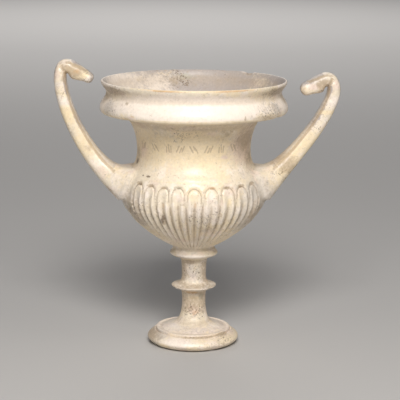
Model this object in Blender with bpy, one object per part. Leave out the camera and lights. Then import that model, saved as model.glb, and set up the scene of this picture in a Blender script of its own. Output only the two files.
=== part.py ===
"""A kantharos: a stemmed drinking cup carved from one block of pale stone.

The bowl is fluted with round-headed tongues, the neck is tall, the rim is a heavy
moulding, and two free-ended handles rise from the shoulder and hook in over the rim.
Metres, +Z up. The origin is on the cup's axis, at the underside of the foot, and the
handles lie along X.
"""
import math
from collections import namedtuple

import bmesh
import bpy
from mathutils import Vector

MM = 0.001
NAME = "kantharos"

# Points round each level of the turned shape
CUP_COLUMNS = 56
STEM_COLUMNS = 28

# Foot and stem, radius then height
FOOT_FLAT_R = 42.0
FOOT_R, FOOT_MID_Z = 46.2, 6.6
FOOT_TOP_R, FOOT_TOP_Z = 39.6, 12.6
FOOT_GROOVE_R, FOOT_GROOVE_Z = 38.2, 12.4
DISC_R, DISC_Z = 37.0, 16.0
DISC_SLOPE_R, DISC_SLOPE_Z = 29.0, 18.0
STEM_BASE_R, STEM_BASE_Z = 16.4, 22.0
STEM_R, STEM_WAIST_Z = 11.9, 43.0
RING_R, RING_Z, RING_HEIGHT = 22.7, 58.6, 9.6
UPPER_STEM_R, UPPER_STEM_Z = 12.3, 72.0
COLLAR_R, COLLAR_Z, COLLAR_BASE_R, COLLAR_BASE_Z = 24.9, 91.8, 14.0, 87.0

# Bowl, neck and rim
BOWL_BASE_R, BOWL_BASE_Z = 20.9, 99.4
BOWL_R, BOWL_WIDE_Z = 72.6, 157.0
LEDGE_R, LEDGE_Z, LEDGE_STEP = 64.6, 176.4, 0.7
NECK_R, NECK_Z = 56.4, 197.0
NECK_TOP_R, NECK_TOP_Z = 62.4, 224.0
TORUS_BASE_Z, TORUS_BASE_R = 234.2, 84.0
TORUS_R, TORUS_WIDE_Z = 92.9, 238.5
SCOTIA_R, SCOTIA_Z = 86.4, 253.5
LIP_R, LIP_Z = 91.6, 264.0
CREST_R, CREST_Z = 88.6, 267.0

# Inside of the cup
MOUTH_R, MOUTH_Z = 86.8, 265.4
THROAT_R, THROAT_Z = 50.4, 199.0
HOLLOW_R, HOLLOW_WIDE_Z, HOLLOW_FLOOR_Z = 65.6, 158.0, 111.5

# Tongues: round-headed flutes with a raised border, separated by a narrow groove
TONGUES = 28
SECTOR = 2 * math.pi / TONGUES
FRONT = -math.pi / 2
BORDER_OUT, BORDER_IN = 0.43, 0.35  # of a sector, either side of the middle line
FLUTE_DEPTH, EDGE_DEPTH, GROOVE_DEPTH = 2.4, 1.3, 1.1
TALL_HEAD, SHORT_HEAD = 0.86, 0.60  # where the round head springs, up the bowl
HANDLE_HALF_ANGLE = math.radians(32)  # tongues this near a handle have a short head
DEPTH_AT_COLLAR = 0.3  # share of their full depth that the flutes start with
TONGUE_ROWS, HEAD_STEPS = 6, 6

# Handles
ROOT = (70.8, 165.8)
ROOT_ABOVE, ROOT_BELOW, ROOT_WIDE, ROOT_FLARE = 15.4, 18.0, 33.0, 7
ROOT_SLANT = math.radians(-68)  # from level, of the line across the root where it meets the bowl
ROOT_IN_WALL = 3.0
BAR_THICK_LOW, BAR_WIDE = 9.8, 9.2
CROWN_INSIDE_R = 0.8
TIP_REACH, TIP_SHARE = 0.62, 0.72  # how far the hook's round end carries on, and its narrower ring
BAR_RINGS, CROWN_RINGS, HOOK_RINGS = 12, 5, 3
SECTION = [(1.0, 0.3), (0.75, 0.74), (0.2, 1.0), (-0.55, 0.96), (-0.95, 0.5)]
Handle = namedtuple("Handle", "name side lead trail top thick crown_r turn hook_length hook_mid hook_end")
HANDLES = [
    Handle("left", -1, (99.7, 175.6), (134.1, 242.4), (131.0, 274.4), 6.9, 7.3, 122, 19.0, 6.9, 5.2),
    Handle("right", 1, (92.2, 179.3), (141.3, 238.4), (137.7, 260.0), 7.3, 7.9, 106, 19.4, 7.9, 6.6),
]


def cubic(start, lead, trail, end, t):
    """Point at t on the cubic curve that leaves start towards lead and reaches end from trail."""
    q = 1 - t
    weights = (q**3, 3 * q * q * t, 3 * q * t * t, t**3)
    return sum((w * Vector(p) for w, p in zip(weights, (start, lead, trail, end))), Vector((0, 0)))


def curve(start, lead, trail, end, steps):
    """Points of a cubic curve after its start, as (radius, height)."""
    return [cubic(start, lead, trail, end, i / steps) for i in range(1, steps + 1)]


def bowl_outline(steps):
    """The bowl's side, from the top of the collar up to the ledge under the neck."""
    lower = curve((BOWL_BASE_R, BOWL_BASE_Z), (28.7, 104.0), (76.6, 131.8), (BOWL_R, BOWL_WIDE_Z), steps)
    upper = curve((BOWL_R, BOWL_WIDE_Z), (71.6, 166.0), (68.6, 171.0), (LEDGE_R, LEDGE_Z), steps)
    return [Vector((BOWL_BASE_R, BOWL_BASE_Z))] + lower + upper


BOWL = bowl_outline(60)
BOWL_LENGTH = sum((b - a).length for a, b in zip(BOWL, BOWL[1:]))


def bowl_at(fraction):
    """Point and outward direction at a fraction of the way up the bowl's side."""
    left = max(0.0, min(1.0, fraction)) * BOWL_LENGTH
    for low, high in zip(BOWL, BOWL[1:]):
        step = high - low
        if left <= step.length:
            break
        left -= step.length
    along = step.normalized()
    return low + along * min(left, step.length), Vector((along.y, -along.x))


def round_axis(radius, height, angle):
    return Vector((radius * math.cos(angle), radius * math.sin(angle), height)) * MM


def ring(mesh, radius, height, columns):
    """One level of points round the axis, which starts at the edge of the front tongue."""
    first = FRONT - SECTOR / 2
    step = 2 * math.pi / columns
    return [mesh.verts.new(round_axis(radius, height, first + step * i)) for i in range(columns)]


def join_rings(mesh, one, other):
    """Faces between two levels, where the finer has a whole number of points to each of the coarser."""
    fine, coarse = (one, other) if len(one) >= len(other) else (other, one)
    share = len(fine) // len(coarse)
    for i, near in enumerate(coarse):
        far = coarse[(i + 1) % len(coarse)]
        run = [fine[(i * share + k) % len(fine)] for k in range(share + 1)]
        if share == 1:
            mesh.faces.new((near, far, run[1], run[0]))
            continue
        middle = share // 2
        for k in range(share):
            mesh.faces.new((near if k < middle else far, run[k], run[k + 1]))
        mesh.faces.new((near, run[middle], far))


def turned_stack(mesh, outline, columns):
    """Levels joined from first to last. Gives back the first and the last."""
    levels = [ring(mesh, r, z, columns) for r, z in outline]
    for low, high in zip(levels, levels[1:]):
        join_rings(mesh, low, high)
    return levels[0], levels[-1]


def foot_outline():
    points = [Vector((FOOT_FLAT_R, 0))]
    points += curve((FOOT_FLAT_R, 0), (44.4, 0.3), (FOOT_R, 3.0), (FOOT_R, FOOT_MID_Z), 2)
    points += curve((FOOT_R, FOOT_MID_Z), (45.2, 9.6), (42.8, 11.8), (FOOT_TOP_R, FOOT_TOP_Z), 2)
    points += [Vector((FOOT_GROOVE_R, FOOT_GROOVE_Z)), Vector((DISC_R, DISC_Z))]
    return points + [Vector((DISC_SLOPE_R, DISC_SLOPE_Z))]


def stem_outline():
    ring_low = RING_Z - RING_HEIGHT / 2
    ring_high = RING_Z + RING_HEIGHT / 2
    points = curve((DISC_SLOPE_R, DISC_SLOPE_Z), (22.0, 19.0), (18.0, 20.0), (STEM_BASE_R, STEM_BASE_Z), 2)
    points += curve((STEM_BASE_R, STEM_BASE_Z), (13.4, 26.4), (STEM_R, 35.0), (STEM_R, STEM_WAIST_Z), 3)
    points += curve((STEM_R, STEM_WAIST_Z), (STEM_R, 48.0), (12.2, 51.0), (12.6, ring_low), 1)
    points += curve((12.6, ring_low), (18.0, 54.6), (RING_R, 55.4), (RING_R, RING_Z), 3)
    points += curve((RING_R, RING_Z), (RING_R, 61.6), (18.0, 62.4), (13.6, ring_high), 3)
    points += curve((13.6, ring_high), (12.6, 66.0), (UPPER_STEM_R, 69.0), (UPPER_STEM_R, UPPER_STEM_Z), 2)
    points += curve((UPPER_STEM_R, UPPER_STEM_Z), (12.3, 78.0), (13.2, 83.0), (COLLAR_BASE_R, COLLAR_BASE_Z), 2)
    points += curve((COLLAR_BASE_R, COLLAR_BASE_Z), (19.0, 87.4), (COLLAR_R, 88.0), (COLLAR_R, COLLAR_Z), 3)
    return points + curve((COLLAR_R, COLLAR_Z), (COLLAR_R, 94.6), (20.9, 96.0), (BOWL_BASE_R, BOWL_BASE_Z - 1), 2)


def neck_and_rim_outline():
    shoulder = (LEDGE_R + LEDGE_STEP, LEDGE_Z + LEDGE_STEP / 2)
    points = [Vector(shoulder)]
    points += curve(shoulder, (59.4, 181.4), (NECK_R, 188.0), (NECK_R, NECK_Z), 3)
    points += curve((NECK_R, NECK_Z), (NECK_R, 208.2), (58.6, 216.0), (NECK_TOP_R, NECK_TOP_Z), 3)
    points += curve((NECK_TOP_R, NECK_TOP_Z), (65.4, 230.0), (72.0, 233.4), (TORUS_BASE_R, TORUS_BASE_Z), 2)
    points += curve((TORUS_BASE_R, TORUS_BASE_Z), (91.0, 234.3), (TORUS_R, 234.8), (TORUS_R, TORUS_WIDE_Z), 3)
    points += curve((TORUS_R, TORUS_WIDE_Z), (TORUS_R, 247.6), (SCOTIA_R, 246.8), (SCOTIA_R, SCOTIA_Z), 4)
    points += curve((SCOTIA_R, SCOTIA_Z), (SCOTIA_R, 260.8), (LIP_R, 260.0), (LIP_R, LIP_Z), 3)
    return points + curve((LIP_R, LIP_Z), (LIP_R, 266.2), (90.4, CREST_Z), (CREST_R, CREST_Z), 2)


def hollow_outline():
    points = [Vector((MOUTH_R, MOUTH_Z))]
    points += curve((MOUTH_R, MOUTH_Z), (82.0, 250.0), (70.0, 241.0), (60.0, 226.0), 2)
    points += curve((60.0, 226.0), (54.0, 217.0), (THROAT_R, 208.0), (THROAT_R, THROAT_Z), 2)
    points += curve((THROAT_R, THROAT_Z), (THROAT_R, 184.0), (HOLLOW_R, 177.0), (HOLLOW_R, HOLLOW_WIDE_Z), 3)
    floor_edge = (22.0, HOLLOW_FLOOR_Z + 4.0)
    return points + curve((HOLLOW_R, HOLLOW_WIDE_Z), (HOLLOW_R, 138.0), (40.0, 121.0), floor_edge, 3)


def tongue_head(index):
    """How far up the bowl a tongue's round head springs."""
    angle = FRONT + SECTOR * index
    off_handle = math.acos(abs(math.cos(angle)))
    return SHORT_HEAD if off_handle < HANDLE_HALF_ANGLE else TALL_HEAD


def on_bowl(mesh, index, across, up, depth):
    """Corner at across, in sectors from a tongue's middle line, and up the bowl, cut in by depth."""
    point, outward = bowl_at(up)
    point = point - outward * depth
    return mesh.verts.new(round_axis(point.x, point.y, FRONT + SECTOR * (index + across)))


def tongue(mesh, index):
    """One sector of the bowl, from the collar to the ledge."""
    head = tongue_head(index)
    sides = [(head + tongue_head(index + k)) / 2 for k in (-1, 1)]
    across = [-0.5, -BORDER_OUT, -BORDER_IN, 0.0, BORDER_IN, BORDER_OUT, 0.5]
    depths = [GROOVE_DEPTH, 0.0, EDGE_DEPTH, FLUTE_DEPTH, EDGE_DEPTH, 0.0, GROOVE_DEPTH]
    springs = [sides[0]] + [head] * 5 + [sides[1]]
    rows = []
    for k in range(TONGUE_ROWS + 1):
        share = k / TONGUE_ROWS
        deepen = min(1.0, DEPTH_AT_COLLAR + share)
        columns = zip(across, springs, depths)
        rows.append([on_bowl(mesh, index, u, top * share, d * deepen) for u, top, d in columns])
    for low, high in zip(rows, rows[1:]):
        for i in range(6):
            mesh.faces.new((low[i], low[i + 1], high[i + 1], high[i]))

    spring = rows[-1]
    height_of_sector = SECTOR * bowl_at(head)[0].x / BOWL_LENGTH

    def arch(reach, depth, ends):
        inner = []
        for k in range(1, HEAD_STEPS):
            angle = math.pi * k / HEAD_STEPS
            up = head + reach * math.sin(angle) * height_of_sector
            inner.append(on_bowl(mesh, index, -reach * math.cos(angle), up, depth))
        return [ends[0]] + inner + [ends[1]]

    edge = arch(BORDER_IN, EDGE_DEPTH, (spring[2], spring[4]))
    crest = arch(BORDER_OUT, 0.0, (spring[1], spring[5]))
    frame = [spring[0]]
    frame.append(on_bowl(mesh, index, -0.5, (sides[0] + 1) / 2, GROOVE_DEPTH / 2))
    frame += [on_bowl(mesh, index, -0.5, 1.0, 0.0), on_bowl(mesh, index, 0.0, 1.0, 0.0)]
    frame.append(on_bowl(mesh, index, 0.5, 1.0, 0.0))
    frame.append(on_bowl(mesh, index, 0.5, (sides[1] + 1) / 2, GROOVE_DEPTH / 2))
    frame.append(spring[6])
    for k in range(HEAD_STEPS):
        mesh.faces.new((spring[3], edge[k + 1], edge[k]))
        mesh.faces.new((edge[k], edge[k + 1], crest[k + 1], crest[k]))
        mesh.faces.new((crest[k], crest[k + 1], frame[k + 1], frame[k]))
    return rows[0], frame[2:5]


def cup():
    """The whole cup without its handles, as one closed skin with the hollow in it."""
    mesh = bmesh.new()
    underside, disc_edge = turned_stack(mesh, foot_outline(), CUP_COLUMNS)
    mesh.faces.new(underside)
    stem_base, collar_top = turned_stack(mesh, stem_outline(), STEM_COLUMNS)
    join_rings(mesh, disc_edge, stem_base)

    bowl_base, ledge = [], []
    for index in range(TONGUES):
        low, high = tongue(mesh, index)
        bowl_base += low[:-1]
        ledge += high[:-1]
    join_rings(mesh, bowl_base, collar_top)

    shoulder, crest = turned_stack(mesh, neck_and_rim_outline(), CUP_COLUMNS)
    join_rings(mesh, ledge, shoulder)
    mouth, floor_edge = turned_stack(mesh, hollow_outline(), CUP_COLUMNS)
    join_rings(mesh, crest, mouth)
    floor = mesh.verts.new((0, 0, HOLLOW_FLOOR_Z * MM))
    for near, far in zip(floor_edge, floor_edge[1:] + floor_edge[:1]):
        mesh.faces.new((near, far, floor))

    bmesh.ops.remove_doubles(mesh, verts=mesh.verts, dist=0.01 * MM)
    return to_object(mesh, NAME)


def to_object(mesh, name):
    """A closed skin, faces out, as an object in the scene."""
    bmesh.ops.recalc_face_normals(mesh, faces=mesh.faces)
    data = bpy.data.meshes.new(name)
    mesh.to_mesh(data)
    mesh.free()
    item = bpy.data.objects.new(name, data)
    bpy.context.collection.objects.link(item)
    return item


def handle_path(handle):
    """Stations along a handle: centre, direction, half thickness in and out, half width, flare."""
    root_along = Vector((-math.sin(ROOT_SLANT), math.cos(ROOT_SLANT)))
    for k in range(BAR_RINGS):
        t = k / (BAR_RINGS - 1)
        centre = cubic(ROOT, handle.lead, handle.trail, handle.top, t)
        ahead = cubic(ROOT, handle.lead, handle.trail, handle.top, t + 0.01)
        flare = (1 - t) ** ROOT_FLARE
        along = (ahead - centre).normalized().lerp(root_along, flare).normalized()
        thick = BAR_THICK_LOW + (handle.thick - BAR_THICK_LOW) * t
        above = thick + (ROOT_ABOVE - thick) * flare
        below = thick + (ROOT_BELOW - thick) * flare
        yield centre, along, above, below, BAR_WIDE + (ROOT_WIDE - BAR_WIDE) * flare, flare
    inward = Vector((-along.y, along.x))
    hub = centre + inward * handle.crown_r
    outward = centre - hub
    for k in range(1, CROWN_RINGS + 1):
        turn = math.radians(handle.turn) * k / CROWN_RINGS
        spoke = Vector((
            outward.x * math.cos(turn) - outward.y * math.sin(turn),
            outward.x * math.sin(turn) + outward.y * math.cos(turn),
        ))
        centre = hub + spoke
        along = Vector((-spoke.y, spoke.x)).normalized()
        inner = min(handle.thick, handle.crown_r - CROWN_INSIDE_R)
        yield centre, along, inner, handle.thick, BAR_WIDE, 0.0
    for k in range(1, HOOK_RINGS + 1):
        share = k / HOOK_RINGS
        thick = handle.hook_mid + (handle.hook_end - handle.hook_mid) * share * share
        yield centre + along * handle.hook_length * share, along, thick, thick, BAR_WIDE, 0.0
    tip = centre + along * (handle.hook_length + handle.hook_end * TIP_REACH)
    thick = handle.hook_end * TIP_SHARE
    yield tip, along, thick, thick, BAR_WIDE * TIP_SHARE, 0.0


def wall_radius(height):
    """Radius of the middle of the cup's wall behind a handle's root."""
    outline = BOWL + neck_and_rim_outline()
    for low, high in zip(outline, outline[1:]):
        if low.y <= height <= high.y:
            share = (height - low.y) / (high.y - low.y)
            return low.x + (high.x - low.x) * share - ROOT_IN_WALL
    return LEDGE_R


def handle(spec):
    """A bar that spreads into a broad root on the shoulder and hooks in at its free end."""
    mesh = bmesh.new()
    outline = SECTION + [(n, -w) for n, w in reversed(SECTION)]

    def level(points):
        return [mesh.verts.new(Vector((spec.side * x, spec.side * y, z)) * MM) for x, y, z in points]

    levels = []
    for centre, along, inner, outer, wide, flare in handle_path(spec):
        normal = Vector((along.y, -along.x))
        points = []
        for n, w in outline:
            reach = centre + normal * n * (outer if n > 0 else inner)
            y = w * wide
            wrap = flare * y * y / (2 * BOWL_R)
            points.append((reach.x - wrap, y, reach.y))
        if flare == 1.0:
            levels.append(level([(math.sqrt(wall_radius(z) ** 2 - y * y), y, z) for x, y, z in points]))
        levels.append(level(points))
    for low, high in zip(levels, levels[1:]):
        join_rings(mesh, low, high)
    mesh.faces.new(levels[0])
    tip = mesh.verts.new(sum((v.co for v in levels[-1]), Vector()) / len(outline))
    tip.co += Vector((spec.side * along.x, 0, along.y)) * MM * (1 - TIP_REACH) * spec.hook_end
    for near, far in zip(levels[-1], levels[-1][1:] + levels[-1][:1]):
        mesh.faces.new((near, far, tip))
    return to_object(mesh, "handle_" + spec.name)


def stone():
    material = bpy.data.materials.new("pale_stone")
    material.use_nodes = True
    shader = material.node_tree.nodes["Principled BSDF"]
    shader.inputs["Base Color"].default_value = (0.80, 0.71, 0.55, 1)
    shader.inputs["Roughness"].default_value = 0.5
    shader.inputs["Metallic"].default_value = 0.0
    return material


def carve_as_one(body, limbs):
    """Joins the handles to the cup, as one block of stone."""
    for limb in limbs:
        limb.hide_render = True
        limb.display_type = "WIRE"
        union = body.modifiers.new(limb.name, "BOOLEAN")
        union.operation = "UNION"
        union.solver = "EXACT"
        union.object = limb


def main():
    for item in list(bpy.data.objects):
        bpy.data.objects.remove(item)
    body = cup()
    body.data.materials.append(stone())
    body.data.shade_smooth()
    body.data.set_sharp_from_angle(angle=math.radians(35))
    carve_as_one(body, [handle(spec) for spec in HANDLES])


main()
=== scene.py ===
"""The looks of a carved stone kantharos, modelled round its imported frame."""
import math
from collections import namedtuple
from contextlib import contextmanager

import bmesh
import bpy
import numpy as np
from mathutils import Matrix, Vector, noise
from mathutils.bvhtree import BVHTree


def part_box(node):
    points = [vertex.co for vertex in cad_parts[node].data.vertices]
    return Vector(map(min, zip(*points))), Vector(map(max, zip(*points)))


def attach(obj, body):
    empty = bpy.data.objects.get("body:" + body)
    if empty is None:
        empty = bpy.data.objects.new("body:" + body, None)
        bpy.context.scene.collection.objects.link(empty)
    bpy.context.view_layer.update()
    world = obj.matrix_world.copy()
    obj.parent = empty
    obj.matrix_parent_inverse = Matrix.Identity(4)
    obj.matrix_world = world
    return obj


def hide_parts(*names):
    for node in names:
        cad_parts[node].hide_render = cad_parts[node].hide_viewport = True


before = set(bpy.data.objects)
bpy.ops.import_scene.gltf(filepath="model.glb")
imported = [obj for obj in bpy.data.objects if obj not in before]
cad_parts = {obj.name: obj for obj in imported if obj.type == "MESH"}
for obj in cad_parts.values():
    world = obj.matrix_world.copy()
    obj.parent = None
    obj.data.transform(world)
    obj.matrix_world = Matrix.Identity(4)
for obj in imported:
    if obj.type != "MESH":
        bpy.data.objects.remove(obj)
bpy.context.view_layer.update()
NODE = "kantharos"
_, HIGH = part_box(NODE)

# Outlines below are in millimetres, as radius and height
MM = 0.001
FULL_TURN = math.tau
FRONT = -math.pi / 2
RIM_R = round(HIGH.y / MM, 1)
CURVE_SAMPLES = 121
# Distances within which points are merged: on a turned band, at a handle's tip and after a union
SAME_POINT, TIP_MERGE, UNION_MERGE = 0.001, 0.02, 0.15

# Points round each band of the turned shape
FOOT_COLUMNS = 168
STEM_COLUMNS = 96
BOWL_COLUMNS = 560
NECK_COLUMNS = 280
HOLLOW_COLUMNS = 140

# Share of the way to their neighbours by which points move in a round of smoothing, and numbers of rounds
SMOOTHING = 0.8
NEAR_ROUNDS, WIDE_ROUNDS = 4, 24

# Tongues on the bowl
TONGUES = 28
SECTOR = FULL_TURN / TONGUES
TALL_SPRING_Z, SHORT_SPRING_Z = 162.8, 136.0
HANDLE_HALF_ANGLE = math.radians(32)
# Depths of the cut in a tongue's head, at its spring and lower down, from its middle (0) to its edge (1)
SHARES = [0, 0.1, 0.2, 0.3, 0.4, 0.5, 0.6, 0.7, 0.8, 0.9, 1.0]
HEAD_CUT = [1.15, 1.15, 1.15, 1.1, 1.0, 0.8, 0.7, 1.1, 1.8, 0.95, 0.15]
SPRING_CUT = [1.4, 1.35, 1.25, 1.05, 0.8, 0.5, 0.45, 0.9, 1.4, 0.5, 1.1]
LOWER_CUT = [2.7, 2.5, 1.9, 1.1, 0.35, 0.0, 0.05, 0.7, 1.6, 2.3, 2.6]
SPANDREL_CUT = 0.1  # between two heads
# Heights over the spring, and the share of the way to the head's top border that each one stands for
HEAD_RISE = ([0, 7.4, 8.5, 9.9, 12.2], [0, 0.7, 0.8, 0.9, 1.0])
OPENS_OVER = 15.0  # height in which a head's flat recess becomes the hollow below
LINE_STEP, LINE_PULL = 0.1, 0.85  # spacing of the lines round a head, and how firmly points are drawn to them
FADE_ABOVE, FADE_BELOW = 1.2, 6  # how far the carving fades out under the ledge and over the collar
# How far one tongue may differ from the next in height, depth, lean and width
CARVER_SEED = 11
LIFT, UNEVEN_DEPTH, SWAY, SWELL = 0.6, 0.12, 0.03, 0.05
# Where the tongues stray from even spacing, in degrees: the middle, the reach and the shift
STRAYS = ((52, 26, 2.4), (-8, 28, -1.3))
BOWL_BASE, BOWL_WIDE, LEDGE = (20.9, 100.3), (72.6, 157.0), (64.9, 176.4)
# Rows of points on the bowl: up to which height, and how far apart
BOWL_ROWS = ((124, 3.0), (149, 1.3), (158, 1.8), (200, 0.8))

# Heights where the bands of the turned shape are bridged
STEM_SEAM_Z, BOWL_SEAM_Z, NECK_SEAM_Z, LIP_SEAM_Z = 17.9, 99.6, 176.6, 266.8


# ---------------------------------------------------------------- modelling helpers


def cubic(start, lead, trail, end, t):
    """Points on a cubic curve at each share t of the way."""
    t = np.asarray(t, float)[..., None]
    start, lead, trail, end = (np.asarray(p, float) for p in (start, lead, trail, end))
    q = 1 - t
    return q**3 * start + 3 * q * q * t * lead + 3 * q * t * t * trail + t**3 * end


def spaced(points, spacing):
    """The same path with its points about spacing apart, without the first."""
    run = np.concatenate([[0], np.cumsum(np.linalg.norm(np.diff(points, axis=0), axis=1))])
    steps = max(1, round(run[-1] / spacing))
    stops = np.linspace(0, run[-1], steps + 1)[1:]
    return np.stack([np.interp(stops, run, points[:, k]) for k in range(points.shape[1])], axis=1)


def outline(start, *stretches):
    """Points along stretches that follow on.

    A stretch of (end, spacing) is straight, and one of (lead, trail, end, spacing) is a curve.
    """
    points = [np.array([start], float)]
    for *bend, end, spacing in stretches:
        here = points[-1][-1]
        lead, trail = bend or (here, end)
        points.append(spaced(cubic(here, lead, trail, end, np.linspace(0, 1, CURVE_SAMPLES)), spacing))
    return np.concatenate(points)


def pick(piece, *others):
    """Selects only these pieces, with the first as the active one."""
    bpy.ops.object.select_all(action="DESELECT")
    for chosen in (piece, *others):
        chosen.select_set(True)
    bpy.context.view_layer.objects.active = piece


@contextmanager
def editing(piece):
    """Edit mode on one piece, with all of it selected."""
    pick(piece)
    bpy.ops.object.mode_set(mode="EDIT")
    bpy.ops.mesh.select_mode(type="VERT")
    bpy.ops.mesh.select_all(action="SELECT")
    yield
    bpy.ops.object.mode_set(mode="OBJECT")


def read_points(piece):
    """A piece's points, in millimetres."""
    points = np.empty(len(piece.data.vertices) * 3)
    piece.data.vertices.foreach_get("co", points)
    return points.reshape(-1, 3) / MM


def write_points(piece, points):
    """Moves a piece's points, given in millimetres."""
    piece.data.vertices.foreach_set("co", (points * MM).ravel())
    piece.data.update()


def read_normals(piece):
    """Which way the surface faces at each of a piece's points."""
    normals = np.empty(len(piece.data.vertices) * 3)
    piece.data.vertices.foreach_get("normal", normals)
    return normals.reshape(-1, 3)


def smoothstep(low, high, value):
    """Eases from 0 to 1 while a value goes from low to high."""
    t = np.clip((value - low) / (high - low), 0, 1)
    return t * t * (3 - 2 * t)


def polar(points):
    """Each point's distance from the cup's axis, and its angle."""
    return np.hypot(points[:, 0], points[:, 1]), np.arctan2(points[:, 1], points[:, 0])


def edge_ends(piece):
    """Both ends of every edge, as two arrays of point numbers."""
    ends = np.empty(len(piece.data.edges) * 2, int)
    piece.data.edges.foreach_get("vertices", ends)
    return ends[::2], ends[1::2]


def spread(values, ends, weight):
    """Each point's value moved towards the mean of its neighbours', by a weight."""
    first, second = ends
    many = len(values)
    count = np.bincount(first, minlength=many) + np.bincount(second, minlength=many)
    flat = values.reshape(many, -1)
    sums = [np.bincount(first, v[second], many) + np.bincount(second, v[first], many) for v in flat.T]
    near = np.stack(sums, axis=1) / np.maximum(count, 1)[:, None]
    moved = flat + (near - flat) * np.reshape(weight, (-1, 1))
    return moved.reshape(values.shape)


def hollowness(points, normals, ends, rounds):
    """How hollow the surface is at each point, in millimetres: how far it rises when it is smoothed."""
    smooth = points
    for _ in range(rounds):
        smooth = spread(smooth, ends, np.full(len(points), SMOOTHING))
    return ((smooth - points) * normals).sum(axis=1)


def put_in_order(piece):
    """Lists edges and faces by their points, because spin and extrude list them differently each run."""
    shell = bmesh.from_edit_mesh(piece.data)
    shell.verts.index_update()
    many = len(shell.verts)

    def place(part):
        corners = [corner.index for corner in part.verts]
        return (min(corners) * many + max(corners)) * 4 * many + sum(corners)

    shell.edges.sort(key=place)
    shell.faces.sort(key=place)
    bmesh.update_edit_mesh(piece.data)


def put_points_in_order(piece):
    """Lists points by their place, because some runs list them differently after a union."""
    shell = bmesh.from_edit_mesh(piece.data)
    rank = {point: k for k, point in enumerate(sorted(shell.verts, key=lambda point: tuple(point.co)))}
    shell.verts.sort(key=rank.get)
    bmesh.update_edit_mesh(piece.data)


def select_open_edges():
    """Selects only the edges with a face on one side."""
    bpy.ops.mesh.select_mode(type="EDGE")
    bpy.ops.mesh.select_all(action="DESELECT")
    bpy.ops.mesh.select_non_manifold(
        extend=False, use_wire=False, use_boundary=True, use_multi_face=False,
        use_non_contiguous=False, use_verts=False,
    )


def turn_band(name, points, columns):
    """An outline drawn point by point, then spun round the cup's axis."""
    first = FRONT - SECTOR / 2
    radius, height = points.T
    path = np.stack([radius * math.cos(first), radius * math.sin(first), height], axis=1) * MM
    bpy.ops.mesh.primitive_plane_add(size=MM, location=(0, 0, 0))
    piece = bpy.context.object
    piece.name = name
    with editing(piece):
        bpy.ops.mesh.merge(type="CENTER")
        bpy.ops.transform.translate(value=path[0])
        for step in np.diff(path, axis=0):
            bpy.ops.mesh.extrude_region_move(TRANSFORM_OT_translate={"value": step})
        bpy.ops.mesh.select_all(action="SELECT")
        bpy.ops.mesh.spin(steps=columns, angle=FULL_TURN, center=(0, 0, 0), axis=(0, 0, 1))
        bpy.ops.mesh.select_all(action="SELECT")
        bpy.ops.mesh.remove_doubles(threshold=SAME_POINT * MM)
        put_in_order(piece)
    return piece


def weld_band(body, band, seam_z, reach=1.2):
    """Joins a band to the body and bridges the two open loops that meet at a height."""
    pick(body, band)
    bpy.ops.object.join()
    with editing(body):
        select_open_edges()
        shell = bmesh.from_edit_mesh(body.data)
        for edge in shell.edges:
            if edge.select and abs(edge.verts[0].co.z / MM - seam_z) > reach:
                edge.select_set(False)
        bmesh.update_edit_mesh(body.data)
        bpy.ops.mesh.bridge_edge_loops()
    return body


# ---------------------------------------------------------------- the bowl's tongues


def bowl_path():
    """The bowl's side: rows are closest where the round heads of the tongues lie."""
    lower = cubic(BOWL_BASE, (31.5, 104.4), (76.6, 131.8), BOWL_WIDE, np.linspace(0, 1, 240))
    upper = cubic(BOWL_WIDE, (71.6, 166.0), (68.6, 171.0), LEDGE, np.linspace(0, 1, 120))
    side = np.concatenate([lower, upper[1:]])
    rows = [side[:1]]
    for high, spacing in BOWL_ROWS:
        zone = side[(side[:, 1] > rows[-1][-1, 1]) & (side[:, 1] <= high)]
        rows.append(spaced(np.concatenate([rows[-1][-1:], zone]), spacing))
    return np.concatenate(rows)


def hand_spacing(angle):
    """How far the carver's spacing strays from even, for an angle from the front."""
    shift = 0
    for middle, reach, most in STRAYS:
        off = (angle - math.radians(middle)) / math.radians(reach)
        shift = shift + math.radians(most) * np.exp(-off * off)
    return shift


def tongue_cut(reach, top, opened):
    """Depth of the cut across a tongue: a flat recess in its head, and a hollow between bars below."""
    head, spring, lower = (np.interp(reach, SHARES, cut) for cut in (HEAD_CUT, SPRING_CUT, LOWER_CUT))
    side = spring + (lower - spring) * opened
    return side + (head - side) * top


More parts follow.
